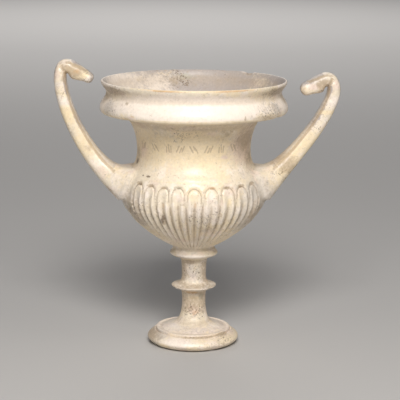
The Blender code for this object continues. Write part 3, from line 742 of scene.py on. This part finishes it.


# ---------------------------------------------------------------- marks of age, and painted light and shade

Mark = namedtuple("Mark", "tint place wide tall strength")
ROUND = 400  # wide enough to reach all the way round
MARKS = [
    # bands of tone
    # Painted light: white round the top of the torus and more at its front, where the top-lit moulding looks
    # palest
    Mark("white", (0, 0, 246), ROUND, 9, 0.62),
    Mark("white", on(-4, 90, 248.5), 76, 12.5, 1.3),
    Mark("honey", (0, 0, 235.2), ROUND, 2.6, 0.8),
    Mark("honey", on(0, 92, 235.4), 84, 2.4, 1.3),
    Mark("tan", (0, 0, 233.4), 84, 2.0, 0.5),
    Mark("honey", on(0, 90, 266.4), 70, 1.6, 0.8),
    Mark("honey", (0, 0, 204), ROUND, 25, 0.62),
    # Partly painted shadow: tan on the top of the neck, under the torus
    Mark("tan", (0, 0, 228), 70, 3.5, 0.18),
    Mark("white", (0, 0, 20), 36, 5, 0.2),
    Mark("grey", (0, 0, 17), 42, 5, 0.6),
    Mark("pink", (0, 0, 14), 60, 9, 0.6),
    # Dirt and painted shade: grey and tan darken the stem all round
    Mark("grey", (0, 0, 74), 22, 16, 0.74),
    Mark("tan", (0, 0, 43), 18, 18, 0.84),
    Mark("grey", (0, 0, 59), 30, 5, 0.9),
    Mark("tan", (0, 0, 60), 30, 4.5, 0.72),
    Mark("honey", (0, 0, 60), 30, 5, 0.6),
    # Painted shade: grey on the downward-facing base of the bowl
    Mark("grey", (0, 0, 108), 50, 7, 0.36),
    # neck
    Mark("grey", on(-34, 62, 222), 14, 7, 0.42),
    Mark("grey", on(-10, 62, 221), 11, 6, 0.25),
    Mark("pits", on(-9, 62, 222), 13, 9, 0.9),
    Mark("dark", on(24, 62, 225.5), 1.5, 1.8, 0.9),
    Mark("tan", on(30, 61, 221), 12, 8, 0.45),
    Mark("tan", on(4, 62, 227), 8, 2.4, 0.5),
    Mark("honey", on(0, 60, 219), 30, 9, 0.8),
    # Painted shade: tan towards the neck's right side
    Mark("tan", on(60, 61, 212), 26, 22, 0.62),
    Mark("pink", on(56, 60, 206), 26, 24, 0.7),
    Mark("tan", on(3, 59, 213.7), 1.4, 2.6, 0.6),
    Mark("dark", on(20.5, 57, 192.6), 1.2, 1.2, 0.7),
    Mark("white", on(16, 57, 198.4), 6, 1.6, 0.6),
    Mark("white", on(20, 57, 196.4), 5, 1.4, 0.6),
    Mark("pink", on(30, 57, 197.5), 5, 2.2, 0.8),
    Mark("pink", on(-62, 58, 200), 10, 12, 0.5),
    # Painted light: white on the neck's front middle and top, where the torus's shadow falls
    Mark("white", on(4, 57, 207), 24, 8, 0.42),
    Mark("white", on(-6, 62, 226), 16, 3, 0.5),
    Mark("pink", on(14, 62, 222), 10, 4, 0.5),
    # Painted highlight: white on the up-facing bottom of the neck's front
    Mark("white", on(0, 57, 188), 44, 6, 0.3),
    Mark("tan", on(7.5, 61, 180.5), 1.4, 1.6, 0.6),
    Mark("dark", on(45.5, 59, 184), 1.4, 1.0, 0.7),
    Mark("white", on(41, 59, 184), 4, 1.2, 0.7),
    Mark("dark", on(-45.5, 64.5, 177.8), 3.0, 0.8, 1.1),
    Mark("dark", on(-52.5, 64.5, 178), 1.6, 0.8, 1.2),
    Mark("pits", on(60, 60, 192), 16, 14, 0.5),
    Mark("tan", on(68, 60, 192), 20, 16, 0.5),
    Mark("dark", (-56, -14, 188), 3.0, 3.2, 1.1),
    Mark("rust", (-58, -16, 191), 3.0, 4.0, 0.6),
    # Painted shade: tan towards the neck's left side
    Mark("tan", on(-76, 60, 196), 13, 12, 0.55),
    # torus and lip
    Mark("tan", on(-48, 88, 250.5), 2.8, 2.2, 0.7),
    Mark("rust", on(-40.5, 93, 239.5), 2.8, 0.7, 0.8),
    Mark("pink", on(-41, 93, 238), 6, 2, 0.7),
    Mark("dark", on(14, 93, 240), 0.9, 0.9, 0.7),
    Mark("tan", on(29.5, 93, 239), 1.5, 4, 0.7),
    Mark("grey", on(33.5, 93, 239), 1.8, 1.6, 0.7),
    Mark("pits", on(52, 91, 244), 20, 10, 1.3),
    Mark("tan", on(46, 92, 238.5), 22, 3.4, 0.55),
    Mark("grey", on(58, 91, 245), 11, 9, 0.6),
    Mark("grey", on(-66, 91, 244), 13, 10, 0.7),
    Mark("pits", on(-62, 91, 244), 16, 9, 0.9),
    # Painted shade: tan at both sides of the hollow under the lip
    Mark("tan", on(-78, 90, 250), 14, 8, 0.5),
    Mark("tan", on(78, 90, 250), 14, 8, 0.5),
    Mark("rust", on(-20, 91, 265.6), 22, 0.9, 0.8),
    Mark("rust", on(22, 91, 265.6), 24, 0.9, 0.9),
    # Painted shade: tan under the lip's flare at both sides
    Mark("tan", on(-64, 88, 260.5), 30, 5, 0.8),
    Mark("tan", on(64, 88, 260.5), 30, 5, 0.8),
    Mark("pits", on(-66, 90, 262), 22, 6, 0.9),
    Mark("pits", on(58, 90, 260), 26, 7, 1.0),
    Mark("white", on(-84, 90, 264), 14, 4, 0.8),
    # inside of the rim
    Mark("pits", on(-168, 84, 256), 19, 9, 1.4),
    Mark("tan", on(-168, 84, 256), 11, 8, 0.42),
    Mark("pits", (0, 0, 256), 84, 9, 0.35),
    # Painted shade on the inner wall at the back right
    Mark("dusk", on(163, 84, 258), 46, 20, 1.3),
    Mark("moss", on(-176, 86, 260), 12, 5, 0.55),
    # Painted light: white on the inner wall at the back left, which faces the light
    Mark("white", on(-118, 84, 257), 46, 14, 0.9),
    Mark("white", on(-157, 83, 254), 26, 9, 1.0),
    Mark("grey", on(-170, 83, 258), 18, 9, 0.6),
    Mark("honey", on(-139, 84, 260), 9, 4, 0.42),
    Mark("pits", on(120, 84, 254), 20, 8, 0.45),
    Mark("pink", on(128, 84, 257), 24, 9, 0.36),
    Mark("white", on(127, 84, 257), 22, 9, 0.42),
    # bowl
    Mark("dark", on(-28.6, 66, 140), 2.6, 8.5, 1.0),
    Mark("dark", on(-29.5, 68, 146), 2.2, 4.5, 0.8),
    Mark("tan", on(-27.5, 64, 133), 3, 5, 0.7),
    Mark("rust", on(-7.4, 72, 151), 1.2, 6.5, 0.9),
    Mark("rust", on(-0.8, 71, 154), 2.4, 6, 0.5),
    Mark("rust", on(-26, 71, 152), 2.2, 6, 0.55),
    Mark("tan", on(-14, 71, 151), 1.5, 7, 0.65),
    Mark("rust", on(5.5, 71, 149), 1.4, 8, 0.5),
    Mark("dark", on(3.3, 69, 142.6), 0.9, 0.9, 0.8),
    Mark("dark", on(5.8, 69, 141.8), 0.9, 0.9, 0.8),
    Mark("dark", on(-3.1, 69, 142.4), 0.8, 0.8, 0.7),
    # Soil and painted shadow under the arches at the tops of the tongues' heads
    Mark("rust", on(12.6, 69, 170.2), 4.4, 1.6, 0.8),
    Mark("tan", on(12.6, 69, 170.2), 5.0, 1.9, 0.65),
    Mark("tan", on(26, 69, 169.9), 4.8, 1.7, 0.85),
    Mark("dark", on(24.5, 69, 169.2), 2.6, 1.0, 0.6),
    Mark("tan", on(-27, 69, 169.8), 5.0, 1.7, 0.75),
    Mark("moss", on(-14, 69, 170.4), 5.0, 1.8, 0.7),
    Mark("tan", on(15, 71, 161), 4.0, 0.6, 0.6),
    Mark("white", on(-1, 72, 166), 3.4, 4, 0.8),
    Mark("white", on(12.5, 72, 164), 3.6, 5, 0.9),
    Mark("white", on(-14, 72, 163), 3.4, 5, 0.6),
    Mark("white", on(-41, 72, 163), 3.4, 6, 0.7),
    Mark("grey", on(16, 72, 157), 3.0, 3.0, 0.5),
    Mark("pink", on(20.5, 72, 157), 1.8, 5, 0.7),
    Mark("dark", on(28.3, 71, 155), 0.9, 1.0, 0.7),
    Mark("honey", on(27, 71, 156), 3, 7, 0.6),
    Mark("moss", on(61, 70, 146), 7, 4, 0.8),
    Mark("moss", on(-61, 70, 147), 7, 4, 0.8),
    Mark("pits", on(10, 70, 140), 26, 14, 0.7),
    Mark("white", on(4, 71, 148), 34, 11, 0.55),
    Mark("pits", on(-45, 68, 150), 12, 8, 0.5),
    Mark("tan", on(14, 62, 128), 12, 9, 0.45),
    Mark("grey", on(60, 66, 146), 30, 30, 1.0),
    Mark("grey", on(-62, 66, 146), 26, 28, 0.85),
    Mark("tan", on(62, 66, 140), 22, 26, 0.55),
    Mark("tan", on(-62, 66, 140), 22, 26, 0.55),
    Mark("honey", on(0, 66, 175), 60, 1.6, 0.55),
    # Soil and painted shadow under the arches at the tops of the tongues' heads
    Mark("tan", on(40.5, 68, 169.9), 4.8, 1.9, 1.0),
    Mark("dark", on(39.5, 68, 169.2), 3.4, 1.1, 0.75),
    Mark("tan", on(54, 68, 170.4), 4.4, 2.0, 0.9),
    Mark("tan", on(-52.5, 68, 170.6), 4.4, 2.0, 1.0),
    Mark("dark", on(-51.5, 68, 169.8), 3.4, 1.1, 0.8),
    Mark("tan", on(-39.5, 68, 170.2), 4.8, 1.8, 0.9),
    Mark("moss", on(0, 66, 173.6), 62, 1.9, 0.34),
    # stem and foot
    # Dirt and painted shade: tan on the stem under the collar and towards its sides
    Mark("tan", on(-20, 13, 85), 9, 3, 0.8),
    Mark("tan", on(-80, 13, 74), 11, 17, 0.75),
    Mark("tan", on(75, 13, 74), 11, 17, 0.75),
    # Painted highlight: white on the top of the collar's front
    Mark("white", on(0, 24, 92.6), 22, 3, 0.6),
    Mark("tan", on(-80, 44, 9), 26, 8, 0.7),
    Mark("grey", on(-66, 40, 12), 22, 6, 0.7),
    Mark("rust", on(-12, 13, 53.5), 7, 1.8, 0.85),
    Mark("honey", on(0, 12, 48), 12, 2, 0.7),
    Mark("moss", on(40, 12, 49), 4, 5, 0.75),
    Mark("moss", on(60, 22, 60), 5, 3, 0.7),
    Mark("grey", on(34, 14, 66), 6, 6, 0.6),
    Mark("pink", on(0, 13, 36), 7, 6, 0.75),
    Mark("pink", on(-4, 14, 70), 7, 6, 0.6),
    Mark("rust", on(8, 13, 33), 5, 4, 0.5),
    Mark("pits", on(4, 13, 36), 14, 10, 1.0),
    Mark("pits", on(0, 14, 74), 14, 10, 0.8),
    Mark("pits", on(40, 22, 58), 12, 8, 0.8),
    Mark("tan", on(48, 38.5, 14), 10, 1.6, 1.0),
    Mark("dark", on(-2, 38.5, 13.8), 5, 0.8, 0.5),
    Mark("dark", on(10, 38.5, 13.8), 4, 0.8, 0.5),
    Mark("tan", on(5, 38.5, 13.8), 26, 1.1, 0.8),
    Mark("pits", on(45, 43, 9), 16, 6, 0.9),
    Mark("honey", on(-42, 46, 4), 9, 3, 0.8),
    Mark("honey", on(-4, 46, 5), 7, 3, 0.6),
    # Painted highlight: white on the foot's rounded step, left of the front
    Mark("white", on(-24, 43, 9), 20, 5, 0.8),
    Mark("white", on(4, 30, 17), 12, 4, 0.7),
    Mark("dark", on(1, 45, 9.5), 1.2, 1.2, 0.8),
    Mark("dark", on(5, 45.4, 8.6), 0.9, 0.9, 0.8),
    Mark("rust", on(-8, 44, 0.6), 12, 1.0, 0.9),
    Mark("tan", on(40, 44, 1.0), 20, 1.4, 0.8),
    # handles
    Mark("honey", (-128, -6, 232), 14, 12, 0.75),
    Mark("white", (-94, -8, 188), 10, 8, 1.0),
    Mark("tan", (-104, -10, 200), 6, 7, 0.45),
    Mark("grey", (-121, -8, 214), 8, 9, 0.5),
    Mark("honey", (-84, -12, 172), 8, 6, 0.6),
    Mark("pink", (-64, -26, 180), 6, 2.4, 0.9),
    Mark("tan", (-84, -8, 158), 12, 5, 0.8),
    # Painted shade: tan in the hook's inner corner
    Mark("tan", (-120, -9, 276), 11, 7, 1.1),
    Mark("rust", (-115, -9, 275), 5, 4, 0.45),
    Mark("honey", (-116, -9, 274), 14, 8, 1.0),
    Mark("tan", (-127, -8, 268), 4, 4, 0.9),
    Mark("honey", (-112, -9, 271), 7, 5, 0.8),
    Mark("pink", (-134, -5, 272), 6, 8, 0.8),
    Mark("white", (-104, -9, 269), 5, 4, 0.5),
    Mark("grey", (-99, -6, 267), 5, 6, 0.8),
    Mark("pits", (-107, -9, 271), 9, 8, 1.0),
    Mark("tan", (128, -7, 256), 6, 5, 1.0),
    Mark("grey", (120, -9, 268), 13, 6, 0.9),
    Mark("tan", (127, -9, 264), 9, 6, 0.9),
    Mark("honey", (106, -9, 257), 9, 6, 0.8),
    Mark("pink", (117, -9, 261), 8, 4, 0.8),
    Mark("honey", (108, -9, 257), 6, 4, 0.6),
    Mark("pink", (139, -7, 262), 5, 8, 0.6),
    Mark("honey", (92, -8, 188), 16, 16, 0.9),
    Mark("tan", (90, -8, 184), 14, 13, 0.72),
    Mark("tan", (72, -8, 186), 10, 5, 0.75),
    Mark("dark", (64, -18, 182), 5, 3, 0.5),
    Mark("pits", (84, -6, 176), 16, 12, 0.8),
    Mark("pits", (126, -8, 232), 12, 24, 0.5),
    Mark("pits", (-130, -8, 250), 10, 12, 0.6),
]
TINTS = sorted({mark.tint for mark in MARKS})

# How far out and how high a handle's own tints begin, and how strong they are
HANDLE_ZONE = (78, 158)
STRIP_GREY, STRIP_WHITE, BACK_GREY = 0.62, 0.55, 0.6
# What a hollow, near or wide, and an edge count for, with the most or the least that counts
HOLLOW_GAIN, HOLLOW_MOST, WIDE_GAIN, WIDE_MOST = 3.4, 1.3, 0.42, 0.6
WORN_GAIN, WORN_FROM = 3.0, 0.45
# Strength of the painted shade laid on the cup's inner wall
INSIDE_SHADE = 0.62


def set_attribute(piece, name, values):
    """Stores a number at each point of a piece, for its finish."""
    layer = piece.data.attributes.get(name) or piece.data.attributes.new(name, "FLOAT", "POINT")
    layer.data.foreach_set("value", values.astype(np.float32))


def tint_handles(points, amounts):
    """Grey strips inside the bars, tan along their grooves, painted shade in the crease, pale tops on the
    hooks.
    """
    outward, lowest = HANDLE_ZONE
    for spec in HANDLES:
        columns = [np.array(column) for column in zip(*handle_stations(spec))]
        centre, along, inner, outer, _, _, hook, groove = columns
        out_way = np.stack([along[:, 1], -along[:, 0]], axis=1)
        own = np.flatnonzero((points[:, 0] * spec.side > outward) & (points[:, 2] > lowest))
        gap = (points[own][:, [0, 2]] * (spec.side, 1))[:, None] - centre
        station = (gap**2).sum(axis=2).argmin(axis=1)
        out = (gap[np.arange(len(own)), station] * out_way[station]).sum(axis=1)
        out = out / np.where(out > 0, outer[station], inner[station])
        bent, line = hook[station], groove[station]
        # Painted shade in the crease where the bar turns into the hook
        crease = np.exp(-(((bent - CREASE_AT) / 0.12) ** 2)) * (out < 0.5)
        strip = edge_strip(out, bent, line)
        parts = {
            "tan": np.maximum(groove_line(out, bent, line, 0.14), crease),
            "grey": (STRIP_GREY * strip + BACK_GREY * smoothstep(0.75, 1.0, out)) * (1 - bent),
            "white": STRIP_WHITE * strip * bent,
        }
        for tint, share in parts.items():
            amounts[tint][own] = np.maximum(amounts[tint][own], share)


def record_age_and_painted_light(cup):
    """Attributes for the finish: hollows, which carry soil and painted shade, worn edges, and how much of
    each tint lies where, painted light and shade among the tints.
    """
    points, normals, ends = read_points(cup), read_normals(cup), edge_ends(cup)
    near = hollowness(points, normals, ends, NEAR_ROUNDS)
    wide = hollowness(points, normals, ends, WIDE_ROUNDS)
    radius, _ = polar(points)
    height = points[:, 2]
    faces_out = (normals[:, 0] * points[:, 0] + normals[:, 1] * points[:, 1]) / np.maximum(radius, 1)
    below_neck = 1 - smoothstep(177, 181, height)
    ledge = np.exp(-(((height - LEDGE[1]) / 1.6) ** 2))
    waist = np.exp(-(((height - BOWL_BASE[1]) / 3.5) ** 2))
    # Soil and painted shade in hollows: the near ones everywhere, the wide ones on the outside below the neck
    hollow_soil_and_shade = np.clip(near * HOLLOW_GAIN * (1 - 0.8 * ledge), 0, HOLLOW_MOST)
    hollow_soil_and_shade += np.clip(wide * WIDE_GAIN, 0, WIDE_MOST) * (faces_out > -0.2) * below_neck
    set_attribute(cup, "hollow", hollow_soil_and_shade * (1 - 0.75 * waist))
    set_attribute(cup, "strokes", stroke_share(points))
    set_attribute(cup, "worn", np.clip(-near * WORN_GAIN - WORN_FROM, 0, 1))
    amounts = {tint: np.zeros(len(points)) for tint in TINTS}
    for mark in MARKS:
        off = points - np.array(mark.place)
        away = np.hypot(off[:, 0], off[:, 1]) / mark.wide
        share = mark.strength * np.exp(-(away**2) - (off[:, 2] / mark.tall) ** 2)
        amounts[mark.tint] = np.maximum(amounts[mark.tint], share)
    # Painted shade on the cup's inner wall, less where the white marks lie
    lined = (faces_out < -0.25) * smoothstep(200, 230, height)
    uncovered = 1 - 0.85 * np.clip(amounts["white"], 0, 1)
    amounts["dusk"] = np.maximum(amounts["dusk"], INSIDE_SHADE * lined * uncovered)
    tint_handles(points, amounts)
    for tint, amount in amounts.items():
        set_attribute(cup, tint, amount)


# ---------------------------------------------------------------- finish of the stone


class Signal:
    """A socket of a finish, whose sums add Math nodes."""

    def __init__(self, finish, socket):
        self.finish, self.socket = finish, socket

    def sum(self, operation, first, second):
        return self.finish.node("ShaderNodeMath", {"operation": operation}, {0: first, 1: second})

    def __add__(self, other):
        return self.sum("ADD", self, other)

    def __sub__(self, other):
        return self.sum("SUBTRACT", self, other)

    def __rsub__(self, other):
        return self.sum("SUBTRACT", other, self)

    def __mul__(self, other):
        return self.sum("MULTIPLY", self, other)

    __radd__, __rmul__ = __add__, __mul__


class Finish:
    """A material and the ways to build up its nodes."""

    def __init__(self, name):
        self.material = bpy.data.materials.new(name)
        self.material.use_nodes = True
        self.tree = self.material.node_tree
        self.shader = self.tree.nodes["Principled BSDF"]
        place = self.node("ShaderNodeTexCoord", output="Object")
        self.place = self.node("ShaderNodeVectorMath", {"operation": "SCALE"}, {0: place, "Scale": 1 / MM})

    def feed(self, socket, value):
        """Links a signal to a socket, or sets the socket to a plain value."""
        if isinstance(value, Signal):
            self.tree.links.new(value.socket, socket)
        else:
            socket.default_value = value

    def node(self, kind, settings=None, inputs=None, output=0):
        """Adds a node: its settings first, then the value or link of each socket."""
        made = self.tree.nodes.new(kind)
        for name, value in (settings or {}).items():
            setattr(made, name, value)
        for key, value in (inputs or {}).items():
            self.feed(made.inputs[key], value)
        return Signal(self, made.outputs[output])

    def amount(self, name):
        """A number stored on the mesh."""
        return self.node("ShaderNodeAttribute", {"attribute_name": name}, output="Fac")

    def cloud(self, size, detail=2.0, rough=0.5, twist=0.0, shift=0.0):
        """Soft noise with lumps about a size across, in millimetres, shifted so that no two lie alike."""
        place = self.place
        if shift:
            moved = {0: place, 1: (shift, shift, shift)}
            place = self.node("ShaderNodeVectorMath", {"operation": "ADD"}, moved)
        inputs = {"Vector": place, "Scale": 1 / size, "Detail": detail, "Roughness": rough}
        return self.node("ShaderNodeTexNoise", None, inputs | {"Distortion": twist})

    def ramp(self, value, low, high, start=0.0, end=1.0):
        """Eases from start to end while a value goes from low to high."""
        inputs = {0: value, 1: low, 2: high, 3: start, 4: end}
        return self.node("ShaderNodeMapRange", {"interpolation_type": "SMOOTHSTEP"}, inputs)

    def blend(self, share, below, above, mode="MIX"):
        """Lays one colour over another."""
        settings = {"data_type": "RGBA", "blend_type": mode}
        return self.node("ShaderNodeMix", settings, {0: share, 6: below, 7: above}, 2)


# Ground, clouds and stains of the stone, and colours that also paint light and shade
CREAM = (0.82, 0.72, 0.57, 1)
PALE = (0.93, 0.83, 0.735, 1)
HONEY = (0.88, 0.72, 0.47, 1)
ROSE = (0.78, 0.62, 0.53, 1)
ASH = (0.57, 0.52, 0.47, 1)
# Dark grey for the painted shade inside the cup
INNER_SHADE_GREY = (0.445, 0.395, 0.375, 1)
TAN = (0.47, 0.36, 0.24, 1)
RUST = (0.62, 0.37, 0.17, 1)
MOSS = (0.41, 0.40, 0.31, 1)
SOIL = (0.16, 0.11, 0.07, 1)
# Colour of each tint and how strongly it covers, in the order in which they are laid
TINT_COLOURS = {
    "white": (PALE, 0.9), "dusk": (INNER_SHADE_GREY, 0.9), "honey": (HONEY, 0.75),
    "pink": (ROSE, 0.8), "grey": (ASH, 0.65), "moss": (MOSS, 0.75),
    "tan": (TAN, 0.75), "rust": (RUST, 0.7), "dark": (SOIL, 0.85),
}


def clouds(finish, broad, middle):
    """Cream ground with honey, pale, rosy and ashen clouds."""
    colour = finish.blend(finish.ramp(broad, 0.44, 0.60) * 0.55, CREAM, HONEY)
    colour = finish.blend(finish.ramp(middle, 0.50, 0.64) * 0.65, colour, PALE)
    rosy = finish.ramp(finish.cloud(20, 4, 0.6, shift=170), 0.54, 0.66)
    colour = finish.blend(rosy * 0.5, colour, ROSE)
    ashen = finish.ramp(finish.cloud(9, 4, 0.65, shift=230), 0.56, 0.70)
    return finish.blend(ashen * 0.42, colour, ASH)


def lay_tints_soil_and_shade(finish, colour, ragged):
    """Tints at their places with ragged borders, then soil and painted shade in hollows, soil in strokes, and
    pale worn edges.
    """
    for tint, (shade, strength) in TINT_COLOURS.items():
        edge = finish.amount(tint) + (ragged - 0.5) * 0.8
        colour = finish.blend(finish.ramp(edge, 0.22, 0.6) * strength, colour, shade)
    # Soil and painted shade in the hollows, tan and then darker
    hollow = finish.amount("hollow") * (0.45 + ragged)
    soil_and_shade = finish.ramp(hollow, 0.2, 0.8)
    colour = finish.blend(soil_and_shade * 0.40, colour, TAN)
    colour = finish.blend(finish.ramp(hollow, 0.75, 1.25) * 0.38, colour, SOIL)
    strokes = finish.ramp(finish.amount("strokes") * (0.6 + ragged), 0.3, 0.85)
    colour = finish.blend(strokes * 0.6, colour, TAN)
    return finish.blend(finish.ramp(finish.amount("worn"), 0.1, 0.8) * 0.35, colour, PALE), soil_and_shade


def speckles(finish, colour):
    """Ragged little pits that hold soil, thick where the stone is pitted, and tan and pale flecks."""
    pitted = finish.amount("pits")
    smooth = finish.ramp(finish.amount("white") + finish.amount("honey") * 0.9, 0.3, 0.9, 1.0, 0.3)
    rare = finish.ramp(finish.cloud(8, 2, 0.5, shift=310) + pitted * 0.4, 0.58, 0.84) * smooth
    specks = finish.ramp(finish.cloud(1.8, 2, 0.6, shift=430) + pitted * 0.04, 0.58, 0.66) * rare
    colour = finish.blend(specks * 0.8, colour, SOIL)
    mottle = finish.ramp(finish.cloud(3.0, 3, 0.6, shift=510) + pitted * 0.08, 0.59, 0.70) * smooth
    colour = finish.blend(mottle * 0.55, colour, TAN)
    flecks = finish.ramp(finish.cloud(2.2, 3, 0.6, shift=620), 0.54, 0.66) * smooth
    # Fewer pale flecks under the painted shade inside the cup
    flecks = flecks * finish.ramp(finish.amount("dusk"), 0.3, 0.8, 1.0, 0.3)
    return finish.blend(flecks * 0.35, colour, PALE), specks, mottle


def stone():
    """Pale polished stone with clouds, stained hollows with painted shade, speckles and fine pits."""
    finish = Finish("pale_stone")
    broad, middle = finish.cloud(40, 3), finish.cloud(13, 3, 0.6, shift=40)
    fine = finish.cloud(2.6, 4, 0.65)
    ragged = finish.cloud(4.6, 5, 0.75, shift=90, twist=0.4)
    colour, soil_and_shade = lay_tints_soil_and_shade(finish, clouds(finish, broad, middle), ragged)
    colour, specks, mottle = speckles(finish, colour)
    tone = finish.ramp(fine, 0.3, 0.7, 0.93, 1.05)
    tones = finish.node("ShaderNodeCombineColor", None, {0: tone, 1: tone, 2: tone})
    colour = finish.blend(1.0, colour, tones, "MULTIPLY")
    finish.feed(finish.shader.inputs["Base Color"], colour)

    rough = 0.30 + finish.ramp(fine, 0.3, 0.7) * 0.12 + soil_and_shade * 0.25 + specks * 0.2
    finish.feed(finish.shader.inputs["Roughness"], rough)
    height = fine * 0.08 + finish.cloud(0.9, 3, 0.6) * 0.04 + middle * 0.2 - specks * 0.4 - mottle * 0.08
    bump = finish.node("ShaderNodeBump", None, {"Strength": 0.6, "Distance": MM, "Height": height})
    finish.feed(finish.shader.inputs["Normal"], bump)
    return finish.material


# ---------------------------------------------------------------- studio


def camera():
    """Where the cup is seen from: a little left of the front, and from above."""
    away, height = 1471 * MM, 439.7 * MM
    turn, down, lean = math.radians(-1.8), math.radians(11.3), math.radians(0.33)
    bpy.ops.object.camera_add()
    view = bpy.context.object
    view.matrix_world = (
        Matrix.Translation((away * math.sin(turn), -away * math.cos(turn), height))
        @ Matrix.Rotation(turn, 4, "Z")
        @ Matrix.Rotation(math.pi / 2 - down, 4, "X")
        @ Matrix.Rotation(lean, 4, "Z")
    )
    view.data.lens = 135
    view.data.sensor_width = 36
    view.data.shift_x = 0.016
    bpy.context.scene.camera = view


def softbox(name, around, up, away, size, power, colour, aim=(0, 0, 0.16), spread_angle=180):
    """A square lamp that faces the cup, at degrees to the right of the front and above level."""
    turn, rise = math.radians(around), math.radians(up)
    way = Vector((math.sin(turn) * math.cos(rise), -math.cos(turn) * math.cos(rise), math.sin(rise)))
    bpy.ops.object.light_add(type="AREA", location=Vector(aim) + way * away)
    lamp = bpy.context.object
    lamp.name = name
    lamp.data.size = size
    lamp.data.energy = power
    lamp.data.color = colour
    lamp.data.spread = math.radians(spread_angle)
    lamp.rotation_euler = (-way).to_track_quat("-Z", "Y").to_euler()


def studio():
    """A wide floor, a dim sky and lamps, with the strongest above the front."""
    bpy.ops.mesh.primitive_plane_add(size=30, location=(0, 0, 0))
    floor = bpy.context.object
    floor.name = "floor"
    paint = bpy.data.materials.new("floor")
    paint.use_nodes = True
    coat = paint.node_tree.nodes["Principled BSDF"].inputs
    coat["Base Color"].default_value = (0.52, 0.51, 0.50, 1)
    coat["Roughness"].default_value = 0.9
    floor.data.materials.append(paint)
    scene = bpy.context.scene
    scene.view_settings.view_transform = "Standard"
    scene.world = scene.world or bpy.data.worlds.new("studio")
    scene.world.use_nodes = True
    sky = scene.world.node_tree.nodes["Background"].inputs
    sky["Color"].default_value = (0.9, 0.92, 1, 1)
    sky["Strength"].default_value = 0.08
    softbox("front_lamp", 0, 40, 2.1, 0.8, 43, (1.0, 0.975, 0.945))
    softbox("left_lamp", -62, 8, 2.0, 0.7, 3.6, (1.0, 0.95, 0.88))
    softbox("right_lamp", 36, 8, 2.0, 0.6, 3.4, (1.0, 0.94, 0.84))
    softbox("high_lamp", 62, 40, 2.2, 0.7, 2.6, (1.0, 0.96, 0.92))
    softbox("far_lamp", 180, 85, 2.6, 3.0, 55, (1.0, 0.98, 0.96), (0, 4.0, 0), 130)
    softbox("back_lamp", 180, 30, 2.6, 1.6, 3, (1.0, 0.98, 0.96))


camera()
studio()
cup = turned_cup()
for spec in HANDLES:
    unite(cup, handle(spec))
refine_neck(cup)
wear_down(cup)
record_age_and_painted_light(cup)
cup.data.materials.clear()
cup.data.materials.append(stone())
pick(cup)
bpy.ops.object.shade_smooth()
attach(cup, "root")
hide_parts(NODE)
